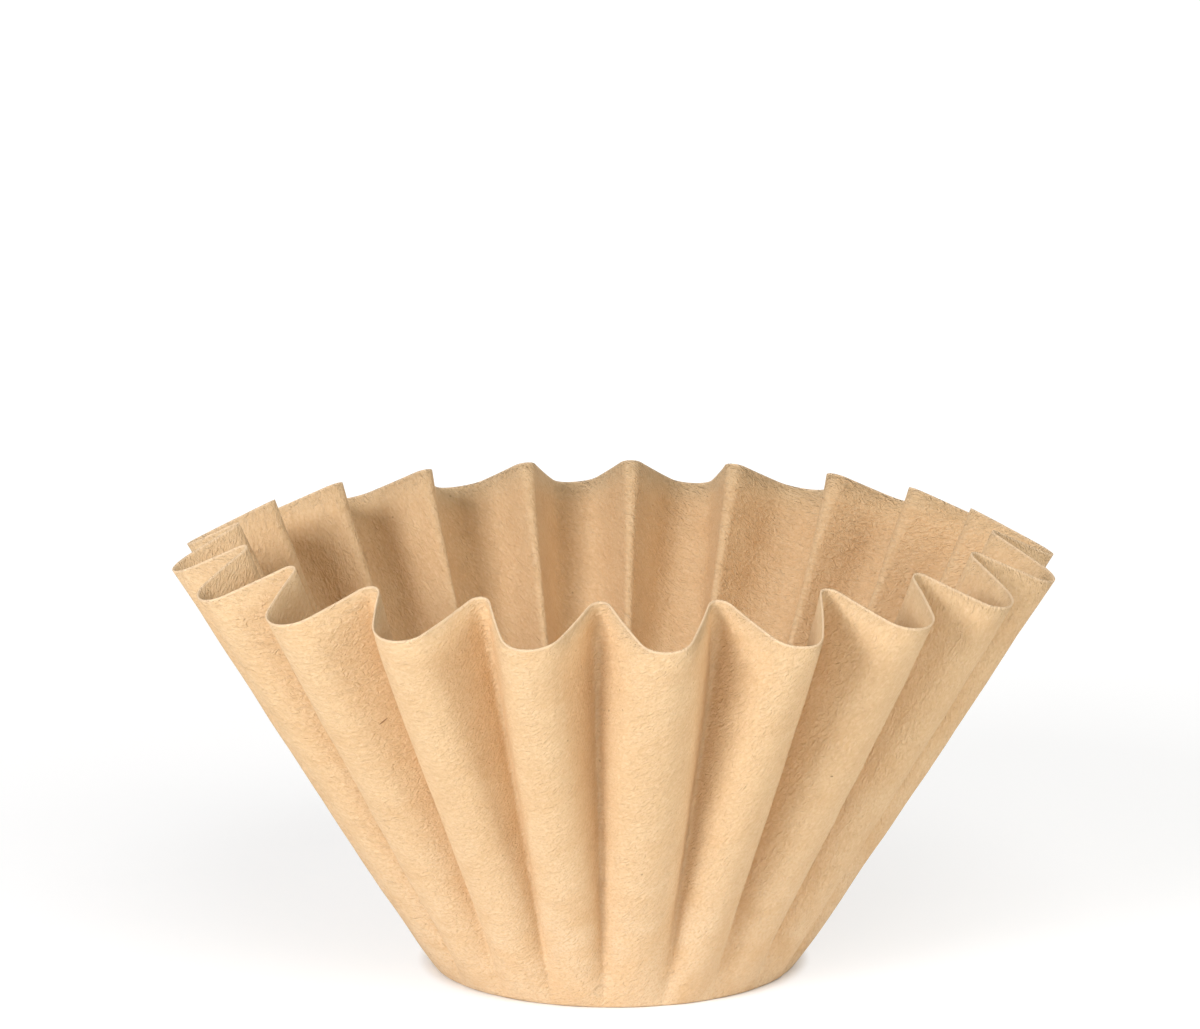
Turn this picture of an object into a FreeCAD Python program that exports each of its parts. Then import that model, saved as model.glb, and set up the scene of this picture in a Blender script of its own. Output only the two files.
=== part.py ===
"""A paper coffee filter: one round sheet of paper with a flat floor and a wall folded into even flutes."""
import FreeCAD, Part
import math
import os
from FreeCAD import Vector

# The sheet, in millimetres
sheet_diameter = 182.0       # across the flat sheet before it is folded
paper_thickness = 0.2
base_diameter = 50.0         # across the flat floor, on the outside of the crease

# The fluted wall
flute_count = 20
wall_angle = 27.9            # degrees from the vertical, along the middle of the flutes
flank_angle = 63.4           # degrees that the paper turns from the top of a crown to a flank
foot_length = 10.0           # up the wall from the crease to where the flutes run on straight
foot_depth = 0.375           # from crown to valley at the foot, as a share of the pitch there
rim_depth = 0.575            # the same at the rim
crown_part = 0.71            # radius of a crown, as a share of the radii of a crown and a valley together

# Faces side by side, so that none turns by more than about 40 degrees
crown_faces = 6
valley_faces = 3
sewing_tolerance = 0.001

lean = math.radians(wall_angle)
base_radius = base_diameter / 2.0
wall_length = sheet_diameter / 2.0 - base_radius
half_angle = math.pi / flute_count
middle, up = Vector(0, 0, 0), Vector(0, 0, 1)
foot, rim = 0, 1             # the two ends of the straight part of a flute


def on_wall(distance, outwards, azimuth):
    """A point at a distance up the wall from the crease, and so far outwards from the middle of the flutes."""
    reach = base_radius + distance * math.sin(lean) + outwards * math.cos(lean)
    return Vector(reach * math.cos(azimuth), reach * math.sin(azimuth),
                  distance * math.cos(lean) - outwards * math.sin(lean))


class Round:
    """A crown (side 1) or a valley (side -1): part of a cone that runs from the foot to the rim."""

    def __init__(self, side, azimuth, inset):
        self.side = side
        self.radii, self.centres = [], []
        for distance, depth_share in ((foot_length, foot_depth), (wall_length, rim_depth)):
            half_pitch = half_angle * (base_radius + distance * math.sin(lean))
            depth = depth_share * 2.0 * half_pitch
            steepness = math.radians(flank_angle)
            both = (half_pitch * math.tan(steepness) - depth) / (1.0 / math.cos(steepness) - 1.0)
            radius = both * (crown_part if side > 0 else 1.0 - crown_part)
            self.centres.append(on_wall(distance, side * (depth / 2.0 - radius), azimuth))
            self.radii.append(radius - side * inset)
        self.along = (self.centres[rim] - self.centres[foot]).normalize()
        self.across = Vector(-math.sin(azimuth), math.cos(azimuth), 0)
        self.outwards = self.across.cross(self.along)

    def spot(self, end, turned):
        """The point turned by some radians from the middle of the crown or valley."""
        towards = self.outwards * (self.side * math.cos(turned)) + self.across * math.sin(turned)
        return self.centres[end] + towards * self.radii[end]

    def arcs(self, end, turn, count):
        """The section from one flank to the other, as equal arcs side by side."""
        marks = [turn * (2.0 * i / count - 1.0) for i in range(count + 1)]
        return [Part.Arc(self.spot(end, a), self.spot(end, (a + b) / 2.0), self.spot(end, b)).toShape()
                for a, b in zip(marks, marks[1:])]


def flank_turns(crown, valley):
    """How far a crown and a valley turn to meet the flat flank that touches both, in radians."""
    between = valley.centres[rim] - crown.centres[rim]
    outwards = between.cross(crown.outwards).cross(between).normalize()
    share = (crown.radii[rim] + valley.radii[rim]) / between.Length
    square = between.normalize() * share + outwards * math.sqrt(1.0 - share ** 2)
    return crown.outwards.getAngle(square), valley.outwards.getAngle(square)


def turned_about(thing, angle):
    """A point or shape turned about the filter's middle."""
    if isinstance(thing, Vector):
        return FreeCAD.Rotation(up, math.degrees(angle)).multVec(thing)
    return thing.rotated(middle, up, math.degrees(angle))


def floor_edge(above, radius, height):
    """The floor's edge below an edge of the wall: an arc below an arc, and a chord below a straight flank."""
    ends = [above.valueAt(value) for value in above.ParameterRange]
    first, last = [math.atan2(point.y, point.x) for point in ends]
    points = [Vector(radius * math.cos(angle), radius * math.sin(angle), height)
              for angle in (first, (first + last) / 2.0, last)]
    if isinstance(above.Curve, Part.Line):
        return Part.makeLine(points[0], points[2])
    return Part.Arc(*points).toShape()


def faces_between(lower, upper):
    """Faces that run straight up from each edge of one list to the edge above it."""
    faces = []
    for low, high in zip(lower, upper):
        if isinstance(low.Curve, Part.Line) and isinstance(high.Curve, Part.Line):
            a, b = [vertex.Point for vertex in low.Vertexes]
            c, d = [vertex.Point for vertex in high.Vertexes]
            faces += [Part.Face(Part.makePolygon([a, b, d, a])), Part.Face(Part.makePolygon([a, d, c, a]))]
        else:
            faces.append(Part.makeRuledSurface(low, high))
    return faces


class Side:
    """One side of the paper over one flute, from the start of its crown round to the start of the next."""

    def __init__(self, inset):
        crown, valley = Round(1, 0.0, inset), Round(-1, half_angle, inset)
        crown_turn, valley_turn = flank_turns(crown, valley)
        self.sections = []
        for end in (foot, rim):
            next_crown = turned_about(crown.spot(end, -crown_turn), 2.0 * half_angle)
            self.sections.append(
                crown.arcs(end, crown_turn, crown_faces)
                + [Part.makeLine(crown.spot(end, crown_turn), valley.spot(end, -valley_turn))]
                + valley.arcs(end, valley_turn, valley_faces)
                + [Part.makeLine(valley.spot(end, valley_turn), next_crown)])
        crease_radius = base_radius - inset * (1.0 - math.sin(lean)) / math.cos(lean)
        self.crease = [floor_edge(edge, crease_radius, inset) for edge in self.sections[foot]]
        self.faces = (faces_between(self.crease, self.sections[foot])
                      + faces_between(self.sections[foot], self.sections[rim]))


def all_round(shapes):
    """The shapes of one flute, repeated for every flute."""
    return [turned_about(shape, 2.0 * half_angle * i) for i in range(flute_count) for shape in shapes]


def filter_paper():
    """The folded sheet: both sides of the wall, its cut edge at the rim, and both sides of the floor."""
    outside, inside = Side(0.0), Side(paper_thickness)
    cut_edge = faces_between(outside.sections[rim], inside.sections[rim])
    faces = all_round(outside.faces + inside.faces + cut_edge)
    for side in (outside, inside):
        faces.append(Part.Face(Part.Wire(Part.__sortEdges__(all_round(side.crease)))))
    shell = Part.makeShell(faces)
    shell.sewShape(sewing_tolerance)
    solid = Part.Solid(shell)
    if solid.Volume < 0:
        solid.reverse()
    return solid


os.makedirs("parts", exist_ok=True)
filter_paper().exportStep("parts/filter_paper.step")
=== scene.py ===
"""A paper coffee filter: one round sheet of creped kraft paper, pressed to a flat floor and a fluted wall."""

import math
import random

import bmesh
import bpy
from bpy.props import FloatProperty, FloatVectorProperty, IntProperty, PointerProperty
from mathutils import Matrix, Vector, noise


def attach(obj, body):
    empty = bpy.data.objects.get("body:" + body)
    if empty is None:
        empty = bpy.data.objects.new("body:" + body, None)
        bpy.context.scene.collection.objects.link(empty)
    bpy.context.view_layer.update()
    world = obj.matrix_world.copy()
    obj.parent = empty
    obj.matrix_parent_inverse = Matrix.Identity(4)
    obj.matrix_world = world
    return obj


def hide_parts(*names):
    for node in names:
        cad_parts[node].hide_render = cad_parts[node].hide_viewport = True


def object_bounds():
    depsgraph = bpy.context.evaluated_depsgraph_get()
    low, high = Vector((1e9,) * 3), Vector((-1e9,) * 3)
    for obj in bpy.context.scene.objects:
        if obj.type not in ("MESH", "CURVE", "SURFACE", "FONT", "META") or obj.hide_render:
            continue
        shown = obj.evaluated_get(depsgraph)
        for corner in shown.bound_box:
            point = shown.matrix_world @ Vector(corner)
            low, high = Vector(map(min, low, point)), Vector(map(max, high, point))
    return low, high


bl_info = {
    "name": "Paper Coffee Filter",
    "version": (1, 0, 0),
    "blender": (4, 5, 0),
    "location": "View3D > Sidebar > Coffee Filter",
    "description": "Presses a sheet of kraft paper into a fluted filter and sets a plain studio round it",
    "category": "Add Mesh",
}

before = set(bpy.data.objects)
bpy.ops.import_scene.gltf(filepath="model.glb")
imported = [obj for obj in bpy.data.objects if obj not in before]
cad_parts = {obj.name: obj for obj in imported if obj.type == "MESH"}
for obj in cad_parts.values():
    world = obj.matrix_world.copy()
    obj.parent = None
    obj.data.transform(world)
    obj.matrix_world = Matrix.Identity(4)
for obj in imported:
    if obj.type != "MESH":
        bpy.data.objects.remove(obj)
CAD_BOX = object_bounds()
NODE = "filter_paper"
MILLIMETRE = 0.001

# The mesh: points round each flute, rings of the floor as shares of its radius, and rings at the crease
POINTS_PER_FLUTE = 48
FLOOR_RINGS = (0.35, 0.7, 0.92)
CREASE_RINGS = 6

# Gaps between the rings up the wall: the first, the widest, the growth of each, and the last one's stretch
FIRST_GAP = 0.0004
WIDEST_GAP = 0.0026
GAP_GROWTH = 1.16
LAST_STRETCH = 1.4

# Radians of turn below which a flute is as good as flat
LEAST_TURN = 1e-4

# How the flutes crowd and spread round the wall: waves round it, then height and phase in degrees
CROWDING = ((1, 0.7, 150), (2, 1.4, -170))

# The low swells of the wall: size in millimetres, share of the height, and layer of the noise
SWELLS = ((9, 1.0, 0.3), (4, 0.5, 0.7))

# Each grain of the paper: length and width in millimetres, detail and distortion
GRAINS = (("Crepe", 0.95, 0.42, 2.0, 0.6), ("Wrinkles", 1.4, 0.75, 2.0, 0.8),
          ("Fibres", 0.5, 0.32, 1.0, 0.2), ("Clouds", 6.0, 4.0, 3.0, 0.4))

# Values of a grain between which it colours the paper
SPREADS = {"Clouds": (0.30, 0.90), "Crepe": (0.40, 1.10), "Fibres": (0.40, 1.00)}

# The middle of a grain's values, and heights of the wrinkles and the fibres as shares of the crepe's
GRAIN_MIDDLE = 0.5
WRINKLE_HEIGHT = 2.3
FIBRE_HEIGHT = 0.6

# Marks at the front, in millimetres on the flat sheet: x, y, degrees, half length and half width.
# Last comes a speck's darkness, or the dent's height as a share of the crepe's.
SPECKS = ((-54.0, -48.1, -60, 0.85, 0.14, 0.85), (-8.7, -75.7, 120, 0.30, 0.17, 0.55),
          (-5.4, -78.8, 0, 0.21, 0.18, 0.45), (-6.6, -81.2, 60, 0.24, 0.16, 0.45),
          (36.4, -54.4, 40, 0.24, 0.16, 0.60))
DENT = (-4.9, -27.5, 0, 1.35, 1.05, -1.8)

# Share of a mark's half size within which it is at its full strength
MARK_CORE = 0.6

# Faint specks all over: spacing and radius in millimetres, share of the places that have one, and darkness
SPECK_SPACING = 9.0
SPECK_RADIUS = 0.20
SPECK_SHARE = 0.12
FAINT_DARKNESS = 0.4

# Millimetres in from the rim: where the painted floor bounce at the foot has faded, and where the pale edge
# starts and is full
BOUNCE_FADED = 25.0
EDGE_FROM = 0.35
EDGE_FULL = 0.12

# The sockets of a Mix node that carry colours: two inputs and the output
COLOUR_A = 6
COLOUR_B = 7
COLOUR_MIXED = 2

# Each lamp: power, size, azimuth and elevation in degrees, colour, and the only thing that it lights, if any
LAMPS = (("key_lamp", "key_power", 0.32, -43, 25, (0.97, 0.965, 1.0), None),
         ("fill_lamp", "fill_power", 0.5, 44, 30, (1.0, 0.97, 0.93), None),
         ("back_lamp", "back_power", 0.6, 170, 38, (1.0, 1.0, 1.0), "paper"),
         ("floor_lamp", "floor_power", 0.5, 8, 50, (1.0, 1.0, 1.0), "floor"))
LAMP_DISTANCE = 0.9

# The floor: its size, the width of the contact shadow, and the distances between which it turns plain white
FLOOR_RADIUS = 12.0
CONTACT_WIDTH = 0.0022
WHITE_FROM = 0.10
WHITE_TO = 0.40
WHITE_STRENGTH = 1.14


class FilterShape(bpy.types.PropertyGroup):
    """The sheet and how it is pressed."""
    sheet_diameter: FloatProperty(
        name="Sheet diameter", description="Across the flat sheet before it is pressed",
        default=0.182, unit="LENGTH")
    floor_diameter: FloatProperty(
        name="Floor diameter", description="Across the flat floor, to the corner that it makes with the wall",
        default=0.050, unit="LENGTH")
    thickness: FloatProperty(
        name="Paper thickness", description="Thickness of the paper",
        default=0.0002, unit="LENGTH")
    crease: FloatProperty(
        name="Crease", description="How far from the corner the paper starts to bend, on either side",
        default=0.00045, unit="LENGTH")
    flutes: IntProperty(
        name="Flutes", description="Number of crowns, and of valleys, round the wall", default=20)
    wall_angle: FloatProperty(
        name="Wall angle", description="Lean of the wall from the vertical, along the middle of the flutes",
        default=math.radians(27.9), subtype="ANGLE")
    flank_angle: FloatProperty(
        name="Flank angle", description="How far the paper turns from the top of a crown to a flank",
        default=math.radians(63.4), subtype="ANGLE")
    rim_depth: FloatProperty(
        name="Depth at the rim", description="From crown to valley at the rim",
        default=0.0101, unit="LENGTH")
    foot_depth: FloatProperty(
        name="Depth at the foot", description="From crown to valley, gained over the foot of the wall",
        default=0.0011, unit="LENGTH")
    foot_length: FloatProperty(
        name="Foot length", description="Up the wall, over which most of the depth at the foot is gained",
        default=0.0050, unit="LENGTH")
    rim_crown: FloatProperty(
        name="Crowns at the rim", description="Share of the rounded paper in the crowns at the rim",
        default=0.71, subtype="FACTOR")
    wall_crown: FloatProperty(
        name="Crowns on the wall", description="Share of the rounded paper in the crowns below the rim",
        default=0.93, subtype="FACTOR")
    rim_blend: FloatProperty(
        name="Rim blend", description="Down the wall from the rim, over which the valleys grow sharp",
        default=0.0070, unit="LENGTH")
    unevenness: FloatProperty(
        name="Unevenness", description="How much deeper or shallower than the mean a flute may be",
        default=0.08, subtype="FACTOR")
    wander: FloatProperty(
        name="Wander", description="How far a crown or valley may stand off its even place",
        default=math.radians(0.5), subtype="ANGLE")
    front_widening: FloatProperty(
        name="Front widening", description="How far the two valleys at the front stand off below the rim",
        default=math.radians(1.0), subtype="ANGLE")
    swell: FloatProperty(
        name="Swell", description="Height of the low swells that handling leaves in the wall",
        default=0.00016, unit="LENGTH")
    seed: IntProperty(name="Seed", description="Chooses the unevenness", default=7)


class PaperFinish(bpy.types.PropertyGroup):
    """The colours and grain of the paper, and the painted bounce light at its foot."""
    paper_colour: FloatVectorProperty(
        name="Paper", description="Colour of the unbleached paper", subtype="COLOR", size=3,
        default=(0.755, 0.535, 0.305))
    # Painted light: the paler colour at the foot of the wall stands in for light bounced up from the floor,
    # and does not come from the pressing
    foot_bounce_colour: FloatVectorProperty(
        name="Foot", description="Colour of the paper at the foot of the wall, where it is pressed hardest",
        subtype="COLOR", size=3, default=(0.790, 0.605, 0.400))
    pale_colour: FloatVectorProperty(
        name="Pale fibres", description="Colour of the raised fibres and of the cut edge", subtype="COLOR",
        size=3, default=(0.850, 0.625, 0.395))
    deep_colour: FloatVectorProperty(
        name="Deep fibres", description="Colour between the fibres", subtype="COLOR", size=3,
        default=(0.690, 0.455, 0.240))
    speck_colour: FloatVectorProperty(
        name="Specks", description="Colour of the few dark specks of bark", subtype="COLOR", size=3,
        default=(0.230, 0.100, 0.035))
    crepe_angle: FloatProperty(
        name="Crepe direction", description="Direction of the fine crepe wrinkles across the flat sheet",
        default=math.radians(43.0), subtype="ANGLE")
    crepe_relief: FloatProperty(
        name="Crepe relief", description="Height of the fine crepe wrinkles", default=0.00015, unit="LENGTH")


class Studio(bpy.types.PropertyGroup):
    """The camera and the light."""
    camera_distance: FloatProperty(
        name="Camera distance", description="From the camera to the point that it aims at",
        default=0.665, unit="LENGTH")
    camera_elevation: FloatProperty(
        name="Camera elevation", description="Height of the camera above the horizon",
        default=math.radians(10.63), subtype="ANGLE")
    camera_turn: FloatProperty(
        name="Camera turn", description="How far the camera stands round from the front",
        default=math.radians(-6.3), subtype="ANGLE")
    aim_height: FloatProperty(
        name="Aim height", description="Height of the point that the camera aims at",
        default=0.06229, unit="LENGTH")
    aim_side: FloatProperty(
        name="Aim side", description="How far beside the filter's axis the camera aims",
        default=-0.00187, unit="LENGTH")
    lens: FloatProperty(name="Lens", description="Focal length in millimetres", default=146.6)
    key_power: FloatProperty(
        name="Key lamp", description="Power of the lamp on the left", default=6.4, unit="POWER")
    fill_power: FloatProperty(
        name="Fill lamp", description="Power of the lamp on the right", default=2.7, unit="POWER")
    back_power: FloatProperty(
        name="Back lamp", description="Power of the lamp behind, which lights the paper only", default=3.0,
        unit="POWER")
    floor_power: FloatProperty(
        name="Floor lamp", description="Power of the lamp that lights the floor and casts the shadow there",
        default=4.3, unit="POWER")
    sky_strength: FloatProperty(
        name="Sky", description="Strength of the even light from all round", default=0.22)
    floor_white: FloatProperty(
        name="Floor white", description="Share of plain white that the camera sees on the floor near by",
        default=0.62, subtype="FACTOR")


class Station:
    """The middle of a crown or valley: its place round the wall and its share of the mean depth."""

    def __init__(self, azimuth, share):
        self.azimuth = azimuth
        self.share = share


class Wall:
    """The pressed sheet: where each point of the flat sheet goes."""

    def __init__(self, shape):
        self.shape = shape
        self.floor_radius = shape.floor_diameter / 2
        self.length = shape.sheet_diameter / 2 - self.floor_radius
        self.sine, self.cosine = math.sin(shape.wall_angle), math.cos(shape.wall_angle)
        self.half_angle = math.pi / shape.flutes
        chance = random.Random(shape.seed)
        stations = range(2 * shape.flutes)
        self.wanders = [chance.uniform(-shape.wander, shape.wander) for _ in stations]
        self.shares = [1 + chance.uniform(-shape.unevenness, shape.unevenness) for _ in stations]

    def station(self, index, sharpness):
        """A crown or valley by its number: 0 is the crown at the front, and odd ones are valleys."""
        azimuth = index * self.half_angle
        crowding = sum(math.radians(height) * math.sin(waves * azimuth + math.radians(phase))
                       for waves, height, phase in CROWDING)
        place = index % (2 * self.shape.flutes)
        widening = self.shape.front_widening * sharpness * index if abs(index) == 1 else 0.0
        return Station(azimuth + crowding + self.wanders[place] + widening, self.shares[place])

    def half_depth(self, climb):
        """Half the mean depth of the flutes, so far up the wall from the corner."""
        shape = self.shape
        foot = shape.foot_depth * (1 - math.exp(-climb / shape.foot_length))
        return (foot + (shape.rim_depth - shape.foot_depth) * climb / self.length) / 2

    def section(self, climb, index, share):
        """The azimuth and the outward offset of a point, by its share of the way to the next station.

        A crown and a valley are rounds that touch a flat flank, and their radii together fit the width.
        """
        sharpness = 1 - math.exp(-(self.length - climb) / self.shape.rim_blend)
        here, there = self.station(index, sharpness), self.station(index + 1, sharpness)
        crown, valley = (here, there) if index % 2 == 0 else (there, here)
        part = share if crown is here else 1 - share
        width = (there.azimuth - here.azimuth) * (self.floor_radius + climb * self.sine)
        half_depth = self.half_depth(climb)
        top, bottom = half_depth * crown.share, -half_depth * valley.share
        turn = min(self.shape.flank_angle, 2 * math.atan2(top - bottom, width))
        if turn < LEAST_TURN:
            return here.azimuth + share * (there.azimuth - here.azimuth), 0.0
        radii = (width * math.sin(turn) - (top - bottom) * math.cos(turn)) / (1 - math.cos(turn))
        flank = (top - bottom - radii * (1 - math.cos(turn))) / math.sin(turn)
        crown_part = self.shape.rim_crown + (self.shape.wall_crown - self.shape.rim_crown) * sharpness
        crown_radius = radii * crown_part
        valley_radius = radii - crown_radius
        along = part * (radii * turn + flank)
        if along <= crown_radius * turn:
            angle = along / crown_radius
            across = crown_radius * math.sin(angle)
            outwards = top - crown_radius * (1 - math.cos(angle))
        elif along <= crown_radius * turn + flank:
            past = along - crown_radius * turn
            across = crown_radius * math.sin(turn) + past * math.cos(turn)
            outwards = top - crown_radius * (1 - math.cos(turn)) - past * math.sin(turn)
        else:
            angle = (radii * turn + flank - along) / valley_radius
            across = width - valley_radius * math.sin(angle)
            outwards = bottom + valley_radius * (1 - math.cos(angle))
        azimuth = crown.azimuth + (valley.azimuth - crown.azimuth) * across / width
        return azimuth, outwards

    def on_wall(self, climb, azimuth_share, flat):
        """A point of the wall, by its distance up from the corner and its place round the flat sheet."""
        index = math.floor(azimuth_share)
        azimuth, outwards = self.section(climb, index, azimuth_share - index)
        rough = sum(share * noise.noise(Vector((flat.x, flat.y, layer)) / (size * MILLIMETRE))
                    for size, share, layer in SWELLS)
        outwards += self.shape.swell * rough * min(1.0, climb / self.shape.foot_length)
        reach = self.floor_radius + climb * self.sine + outwards * self.cosine
        height = climb * self.cosine - outwards * self.sine
        return Vector((reach * math.sin(azimuth), -reach * math.cos(azimuth), height))

    def pressed(self, flat):
        """Where a point of the flat sheet goes."""
        distance = flat.length
        crease = self.shape.crease
        if distance <= self.floor_radius - crease:
            return Vector((flat.x, flat.y, 0))
        azimuth_share = math.atan2(flat.x, -flat.y) / self.half_angle
        climb = distance - self.floor_radius
        if climb >= crease:
            return self.on_wall(climb, azimuth_share, flat)
        corner = flat * (self.floor_radius / distance)
        start = corner * (1 - crease / self.floor_radius)
        end = self.on_wall(crease, azimuth_share, flat)
        share = (climb + crease) / (2 * crease)
        return start * (1 - share) ** 2 + corner * (2 * share * (1 - share)) + end * share ** 2


def ring_radii(wall):
    """Radii of the rings of the flat sheet, close together at the crease and wider apart up the wall."""
    crease = wall.shape.crease
    radii = [share * wall.floor_radius for share in FLOOR_RINGS]
    radii += [wall.floor_radius + crease * (2 * step / CREASE_RINGS - 1) for step in range(CREASE_RINGS)]
    climb = crease
    gap = FIRST_GAP
    while climb + LAST_STRETCH * gap < wall.length:
        radii.append(wall.floor_radius + climb)
        climb += gap
        gap = min(gap * GAP_GROWTH, WIDEST_GAP)
    return radii + [wall.floor_radius + wall.length]


def flat_sheet(radii, around):
    """The flat round sheet, underside down, grown ring by ring, with its flat places kept as a UV map."""
    sheet = bmesh.new()
    bmesh.ops.create_circle(sheet, cap_ends=True, cap_tris=True, segments=around, radius=radii[0])
    edges = [edge for edge in sheet.edges if edge.is_boundary]
    for inner, outer in zip(radii, radii[1:]):
        grown = bmesh.ops.extrude_edge_only(sheet, edges=edges)["geom"]
        verts = [part for part in grown if isinstance(part, bmesh.types.BMVert)]
        edges = [part for part in grown if isinstance(part, bmesh.types.BMEdge) and part.is_boundary]
        bmesh.ops.scale(sheet, vec=(outer / inner, outer / inner, 1), verts=verts)
    bmesh.ops.recalc_face_normals(sheet, faces=sheet.faces)
    sheet.normal_update()
    sheet.faces.ensure_lookup_table()
    if sheet.faces[0].normal.z > 0:
        bmesh.ops.reverse_faces(sheet, faces=sheet.faces)
    places = sheet.loops.layers.uv.new("Sheet")
    for face in sheet.faces:
        for corner in face.loops:
            corner[places].uv = corner.vert.co.xy / (2 * radii[-1]) + Vector((0.5, 0.5))
    return sheet


def add_node(tree, kind, inputs=(), **settings):
    """A shader node with its settings and the values of its unlinked inputs."""
    made = tree.nodes.new(kind)
    for name, value in settings.items():
        setattr(made, name, value)
    for name, value in dict(inputs).items():
        made.inputs[name].default_value = value
    return made


def grain_group():
    """Crepe wrinkles and fibres, from places on the flat sheet in millimetres."""
    group = bpy.data.node_groups.new("Creped paper grain", "ShaderNodeTree")
    group.interface.new_socket("Place", in_out="INPUT", socket_type="NodeSocketVector")
    group.interface.new_socket("Angle", in_out="INPUT", socket_type="NodeSocketFloat")
    for name, *_ in GRAINS:
        group.interface.new_socket(name, in_out="OUTPUT", socket_type="NodeSocketFloat")
    entry, result = group.nodes.new("NodeGroupInput"), group.nodes.new("NodeGroupOutput")
    turned = add_node(group, "ShaderNodeVectorRotate", rotation_type="Z_AXIS")
    group.links.new(entry.outputs["Place"], turned.inputs["Vector"])
    group.links.new(entry.outputs["Angle"], turned.inputs["Angle"])
    for name, length, width, detail, distortion in GRAINS:
        stretched = add_node(group, "ShaderNodeMapping", {"Scale": (1 / length, 1 / width, 1)})
        texture = add_node(group, "ShaderNodeTexNoise", noise_dimensions="2D", inputs={
            "Scale": 1.0, "Detail": detail, "Distortion": distortion})
        group.links.new(turned.outputs["Vector"], stretched.inputs["Vector"])
        group.links.new(stretched.outputs["Vector"], texture.inputs["Vector"])
        group.links.new(texture.outputs["Fac"], result.inputs[name])
    return group


def speck_group():
    """A mask of one small mark on the sheet, from its middle, direction, half length and half width."""
    group = bpy.data.node_groups.new("Speck", "ShaderNodeTree")
    for name, kind in (("Place", "Vector"), ("Middle", "Vector"), ("Direction", "Float"), ("Size", "Vector")):
        group.interface.new_socket(name, in_out="INPUT", socket_type="NodeSocket" + kind)
    group.interface.new_socket("Speck", in_out="OUTPUT", socket_type="NodeSocketFloat")
    entry, result = group.nodes.new("NodeGroupInput"), group.nodes.new("NodeGroupOutput")
    away = add_node(group, "ShaderNodeVectorMath", operation="SUBTRACT")
    turned = add_node(group, "ShaderNodeVectorRotate", rotation_type="Z_AXIS", invert=True)
    scaled = add_node(group, "ShaderNodeVectorMath", operation="DIVIDE")
    distance = add_node(group, "ShaderNodeVectorMath", operation="LENGTH")
    mask = add_node(group, "ShaderNodeMapRange", {"From Min": 1.0, "From Max": MARK_CORE})
    group.links.new(entry.outputs["Place"], away.inputs[0])
    group.links.new(entry.outputs["Middle"], away.inputs[1])
    group.links.new(away.outputs["Vector"], turned.inputs["Vector"])
    group.links.new(entry.outputs["Direction"], turned.inputs["Angle"])
    group.links.new(turned.outputs["Vector"], scaled.inputs[0])
    group.links.new(entry.outputs["Size"], scaled.inputs[1])
    group.links.new(scaled.outputs["Vector"], distance.inputs[0])
    group.links.new(distance.outputs["Value"], mask.inputs["Value"])
    group.links.new(mask.outputs["Result"], result.inputs["Speck"])
    return group


def scattered_specks(tree, place):
    """A mask of faint specks in a few of the cells of a scatter over the whole sheet."""
    cells = add_node(tree, "ShaderNodeTexVoronoi", {"Scale": 1 / SPECK_SPACING}, voronoi_dimensions="2D")
    shown = add_node(tree, "ShaderNodeSeparateColor")
    few = add_node(tree, "ShaderNodeMath", {1: 1 - SPECK_SHARE}, operation="GREATER_THAN")
    radius = SPECK_RADIUS / SPECK_SPACING
    small = add_node(tree, "ShaderNodeMapRange", {"From Min": radius, "From Max": radius / 2})
    both = add_node(tree, "ShaderNodeMath", operation="MULTIPLY")
    tree.links.new(place, cells.inputs["Vector"])
    tree.links.new(cells.outputs["Color"], shown.inputs["Color"])
    tree.links.new(shown.outputs["Red"], few.inputs[0])
    tree.links.new(cells.outputs["Distance"], small.inputs["Value"])
    tree.links.new(few.outputs["Value"], both.inputs[0])
    tree.links.new(small.outputs["Result"], both.inputs[1])
    return both.outputs["Value"]


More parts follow.
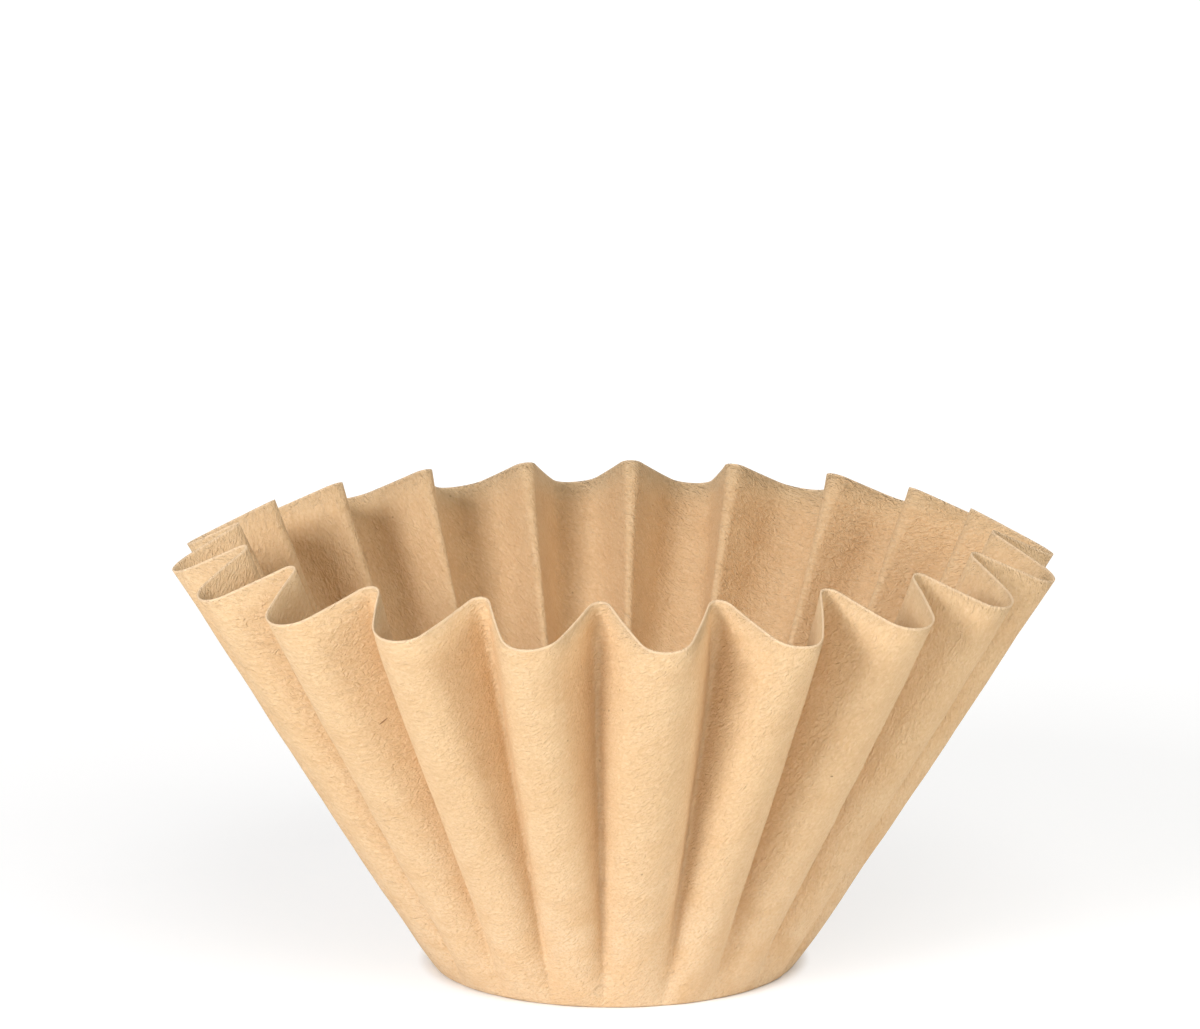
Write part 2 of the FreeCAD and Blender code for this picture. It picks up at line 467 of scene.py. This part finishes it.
def kraft_paper(finish, shape):
    """The paper's material: creped kraft with fibres, clouds, specks, one small dent, a pale cut edge, and
    painted bounce light at the foot.
    """
    material = bpy.data.materials.new("Unbleached creped paper")
    material.use_nodes = True
    tree = material.node_tree
    shader = tree.nodes["Principled BSDF"]
    shader.inputs["Roughness"].default_value = 0.88
    shader.inputs["Specular IOR Level"].default_value = 0.25
    sheet_mm = shape.sheet_diameter / MILLIMETRE
    place = add_node(tree, "ShaderNodeUVMap", uv_map="Sheet")
    millimetres = add_node(tree, "ShaderNodeMapping", {"Scale": (sheet_mm, sheet_mm, 1),
                                                       "Location": (-sheet_mm / 2, -sheet_mm / 2, 0)})
    tree.links.new(place.outputs["UV"], millimetres.inputs["Vector"])
    grain = add_node(tree, "ShaderNodeGroup", node_tree=grain_group())
    grain.inputs["Angle"].default_value = finish.crepe_angle
    tree.links.new(millimetres.outputs["Vector"], grain.inputs["Place"])

    def mixed(factor, low, high, first, second):
        """Colour between first and second as the factor goes from low to high."""
        spread = add_node(tree, "ShaderNodeMapRange", {"From Min": low, "From Max": high})
        mix = add_node(tree, "ShaderNodeMix", data_type="RGBA")
        tree.links.new(factor, spread.inputs["Value"])
        tree.links.new(spread.outputs["Result"], mix.inputs["Factor"])
        for socket, colour in ((mix.inputs[COLOUR_A], first), (mix.inputs[COLOUR_B], second)):
            if isinstance(colour, bpy.types.NodeSocket):
                tree.links.new(colour, socket)
            else:
                socket.default_value = (*colour, 1)
        return mix.outputs[COLOUR_MIXED]

    distance = add_node(tree, "ShaderNodeVectorMath", operation="LENGTH")
    tree.links.new(millimetres.outputs["Vector"], distance.inputs[0])
    from_middle = distance.outputs["Value"]
    floor_mm = shape.floor_diameter / MILLIMETRE / 2
    rim_mm = sheet_mm / 2
    # Paler towards the foot of the wall, fading out up it: painted bounce light from the floor
    bounce_lit = mixed(from_middle, floor_mm, rim_mm - BOUNCE_FADED, finish.foot_bounce_colour, finish.paper_colour)
    clouded = mixed(grain.outputs["Clouds"], *SPREADS["Clouds"], bounce_lit, finish.deep_colour)
    creped = mixed(grain.outputs["Crepe"], *SPREADS["Crepe"], clouded, finish.pale_colour)
    fibrous = mixed(grain.outputs["Fibres"], *SPREADS["Fibres"], creped, finish.deep_colour)
    scatter = scattered_specks(tree, millimetres.outputs["Vector"])
    specked = mixed(scatter, 0.0, 1 / FAINT_DARKNESS, fibrous, finish.speck_colour)
    speck = speck_group()

    def mark(x, y, degrees, half_length, half_width):
        """The mask of one mark."""
        spot = add_node(tree, "ShaderNodeGroup", node_tree=speck)
        spot.inputs["Middle"].default_value = (x, y, 0)
        spot.inputs["Direction"].default_value = math.radians(degrees)
        spot.inputs["Size"].default_value = (half_length, half_width, 1)
        tree.links.new(millimetres.outputs["Vector"], spot.inputs["Place"])
        return spot.outputs["Speck"]

    for *form, darkness in SPECKS:
        specked = mixed(mark(*form), 0.0, 1 / darkness, specked, finish.speck_colour)
    edged = mixed(from_middle, rim_mm - EDGE_FROM, rim_mm - EDGE_FULL, specked, finish.pale_colour)
    tree.links.new(edged, shader.inputs["Base Color"])
    bump = add_node(tree, "ShaderNodeBump", {"Strength": 1.0, "Distance": finish.crepe_relief})
    centred = add_node(tree, "ShaderNodeMath", {1: GRAIN_MIDDLE}, operation="SUBTRACT")
    creased = add_node(tree, "ShaderNodeMath", operation="ABSOLUTE")
    wrinkled = add_node(tree, "ShaderNodeMath", {1: WRINKLE_HEIGHT}, operation="MULTIPLY_ADD")
    height = add_node(tree, "ShaderNodeMath", {1: FIBRE_HEIGHT}, operation="MULTIPLY_ADD")
    tree.links.new(grain.outputs["Wrinkles"], centred.inputs[0])
    tree.links.new(centred.outputs["Value"], creased.inputs[0])
    tree.links.new(creased.outputs["Value"], wrinkled.inputs[0])
    tree.links.new(grain.outputs["Crepe"], wrinkled.inputs[2])
    tree.links.new(grain.outputs["Fibres"], height.inputs[0])
    tree.links.new(wrinkled.outputs["Value"], height.inputs[2])
    dented = add_node(tree, "ShaderNodeMath", {1: DENT[-1]}, operation="MULTIPLY_ADD")
    tree.links.new(mark(*DENT[:-1]), dented.inputs[0])
    tree.links.new(height.outputs["Value"], dented.inputs[2])
    tree.links.new(dented.outputs["Value"], bump.inputs["Height"])
    tree.links.new(bump.outputs["Normal"], shader.inputs["Normal"])
    return material


class COFFEEFILTER_OT_paper(bpy.types.Operator):
    """Press the paper sheet into its flat floor and fluted wall"""
    bl_idname = "coffee_filter.press_paper"
    bl_label = "Press the Paper"
    bl_options = {"REGISTER", "UNDO"}

    def execute(self, context):
        shape = context.scene.filter_shape
        wall = Wall(shape)
        sheet = flat_sheet(ring_radii(wall), POINTS_PER_FLUTE * shape.flutes)
        for vert in sheet.verts:
            vert.co = wall.pressed(vert.co)
        mesh = bpy.data.meshes.new("filter_sheet")
        sheet.to_mesh(mesh)
        sheet.free()
        mesh.shade_smooth()
        piece = bpy.data.objects.new("filter_sheet", mesh)
        context.scene.collection.objects.link(piece)
        mesh.materials.append(kraft_paper(context.scene.paper_finish, shape))
        solid = piece.modifiers.new("Paper thickness", "SOLIDIFY")
        solid.thickness = shape.thickness
        solid.offset = -1
        solid.use_even_offset = True
        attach(piece, "root")
        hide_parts(NODE)
        return {"FINISHED"}


def look_at(thing, place, target):
    """Put a lamp or camera at a place and aim it at a target."""
    thing.location = place
    thing.rotation_mode = "QUATERNION"
    thing.rotation_quaternion = (target - place).to_track_quat("-Z", "Y")


def add_lamp(context, name, power, size, azimuth, elevation, colour):
    """A square lamp aimed at the middle of the filter, placed by azimuth from the front and by elevation."""
    lamp = bpy.data.lights.new(name, "AREA")
    lamp.energy = power
    lamp.size = size
    lamp.color = colour
    holder = bpy.data.objects.new(name, lamp)
    context.scene.collection.objects.link(holder)
    middle = (CAD_BOX[0] + CAD_BOX[1]) / 2
    level = math.cos(elevation)
    towards = Vector((level * math.sin(azimuth), -level * math.cos(azimuth), math.sin(elevation)))
    look_at(holder, middle + towards * LAMP_DISTANCE, middle)
    return holder


def shine_only_on(lamp, thing):
    """Let a lamp light one object and no other."""
    lit = bpy.data.collections.new(lamp.name + "_lights")
    lit.objects.link(thing)
    lamp.light_linking.receiver_collection = lit


def white_for_camera(tree, shader, near_share, base_radius):
    """A shader that camera and mirror rays see as white: fully far off, partly near by, not at the base."""
    path = tree.nodes.new("ShaderNodeLightPath")
    seen = add_node(tree, "ShaderNodeMath", operation="MAXIMUM")
    place = tree.nodes.new("ShaderNodeTexCoord")
    distance = add_node(tree, "ShaderNodeVectorMath", operation="LENGTH")
    share = add_node(tree, "ShaderNodeMapRange", interpolation_type="SMOOTHSTEP", inputs={
        "From Min": WHITE_FROM, "From Max": WHITE_TO, "To Min": near_share})
    contact = add_node(tree, "ShaderNodeMapRange", {
        "From Min": base_radius, "From Max": base_radius + CONTACT_WIDTH})
    part = add_node(tree, "ShaderNodeMath", operation="MULTIPLY")
    clear = add_node(tree, "ShaderNodeMath", operation="MULTIPLY")
    white = add_node(tree, "ShaderNodeEmission", {"Color": (1, 1, 1, 1), "Strength": WHITE_STRENGTH})
    mix = tree.nodes.new("ShaderNodeMixShader")
    tree.links.new(path.outputs["Is Camera Ray"], seen.inputs[0])
    tree.links.new(path.outputs["Is Glossy Ray"], seen.inputs[1])
    tree.links.new(place.outputs["Object"], distance.inputs[0])
    tree.links.new(distance.outputs["Value"], share.inputs["Value"])
    tree.links.new(seen.outputs["Value"], part.inputs[0])
    tree.links.new(share.outputs["Result"], part.inputs[1])
    tree.links.new(distance.outputs["Value"], contact.inputs["Value"])
    tree.links.new(part.outputs["Value"], clear.inputs[0])
    tree.links.new(contact.outputs["Result"], clear.inputs[1])
    tree.links.new(clear.outputs["Value"], mix.inputs["Fac"])
    tree.links.new(shader, mix.inputs[1])
    tree.links.new(white.outputs["Emission"], mix.inputs[2])
    return mix.outputs["Shader"]


class COFFEEFILTER_OT_stage(bpy.types.Operator):
    """Set the white floor, the soft lamps and the camera"""
    bl_idname = "coffee_filter.set_stage"
    bl_label = "Set the Stage"
    bl_options = {"REGISTER", "UNDO"}

    def execute(self, context):
        studio = context.scene.studio
        base_radius = context.scene.filter_shape.floor_diameter / 2
        things = {"paper": bpy.data.objects["filter_sheet"],
                  "floor": self.add_floor(context, studio, base_radius)}
        self.add_sky(context, studio, base_radius)
        for name, power, size, azimuth, elevation, colour, lit in LAMPS:
            lamp = add_lamp(context, name, getattr(studio, power), size, math.radians(azimuth),
                            math.radians(elevation), colour)
            if lit:
                shine_only_on(lamp, things[lit])
        self.add_camera(context, studio)
        return {"FINISHED"}

    def add_floor(self, context, studio, base_radius):
        """The white floor, which reaches far past the camera's view."""
        disc = bmesh.new()
        bmesh.ops.create_circle(disc, cap_ends=True, segments=96, radius=FLOOR_RADIUS)
        mesh = bpy.data.meshes.new("floor")
        disc.to_mesh(mesh)
        disc.free()
        floor = bpy.data.objects.new("floor", mesh)
        context.scene.collection.objects.link(floor)
        material = bpy.data.materials.new("White floor")
        material.use_nodes = True
        tree = material.node_tree
        shader = tree.nodes["Principled BSDF"]
        shader.inputs["Base Color"].default_value = (0.9, 0.9, 0.9, 1)
        shader.inputs["Roughness"].default_value = 0.9
        shader.inputs["Specular IOR Level"].default_value = 0.0
        whitened = white_for_camera(tree, shader.outputs["BSDF"], studio.floor_white, base_radius)
        tree.links.new(whitened, tree.nodes["Material Output"].inputs["Surface"])
        mesh.materials.append(material)
        return floor

    def add_sky(self, context, studio, base_radius):
        """Even light from all round, which the camera sees as plain white."""
        world = bpy.data.worlds.new("Studio")
        world.use_nodes = True
        tree = world.node_tree
        sky = tree.nodes["Background"]
        sky.inputs["Color"].default_value = (1.0, 0.98, 0.90, 1)
        sky.inputs["Strength"].default_value = studio.sky_strength
        whitened = white_for_camera(tree, sky.outputs["Background"], 1.0, base_radius)
        tree.links.new(whitened, tree.nodes["World Output"].inputs["Surface"])
        context.scene.world = world

    def add_camera(self, context, studio):
        """The camera, which stands a little round from the front and looks slightly down."""
        camera = bpy.data.cameras.new("camera")
        camera.lens = studio.lens
        camera.sensor_width = 36.0
        camera.clip_start, camera.clip_end = 0.05, 50.0
        holder = bpy.data.objects.new("camera", camera)
        context.scene.collection.objects.link(holder)
        turn = Matrix.Rotation(studio.camera_turn, 4, "Z")
        target = Vector((studio.aim_side, 0, studio.aim_height))
        back = Vector((0, -math.cos(studio.camera_elevation), math.sin(studio.camera_elevation)))
        look_at(holder, turn @ (target + back * studio.camera_distance), turn @ target)
        context.scene.camera = holder
        context.scene.view_settings.view_transform = "Standard"


class COFFEEFILTER_PT_panel(bpy.types.Panel):
    """The filter's sizes, its paper and its stage"""
    bl_label = "Coffee Filter"
    bl_space_type = "VIEW_3D"
    bl_region_type = "UI"
    bl_category = "Coffee Filter"

    def draw(self, context):
        for settings, operator in ((context.scene.filter_shape, None),
                                   (context.scene.paper_finish, COFFEEFILTER_OT_paper.bl_idname),
                                   (context.scene.studio, COFFEEFILTER_OT_stage.bl_idname)):
            column = self.layout.column(align=True)
            for name in settings.__annotations__:
                column.prop(settings, name)
            if operator:
                self.layout.operator(operator)


CLASSES = (FilterShape, PaperFinish, Studio,
           COFFEEFILTER_OT_paper, COFFEEFILTER_OT_stage, COFFEEFILTER_PT_panel)


def register():
    for kind in CLASSES:
        bpy.utils.register_class(kind)
    bpy.types.Scene.filter_shape = PointerProperty(type=FilterShape)
    bpy.types.Scene.paper_finish = PointerProperty(type=PaperFinish)
    bpy.types.Scene.studio = PointerProperty(type=Studio)


def unregister():
    del bpy.types.Scene.studio
    del bpy.types.Scene.paper_finish
    del bpy.types.Scene.filter_shape
    for kind in reversed(CLASSES):
        bpy.utils.unregister_class(kind)


def main():
    register()
    bpy.ops.coffee_filter.press_paper()
    bpy.ops.coffee_filter.set_stage()


if __name__ == "__main__":
    main()
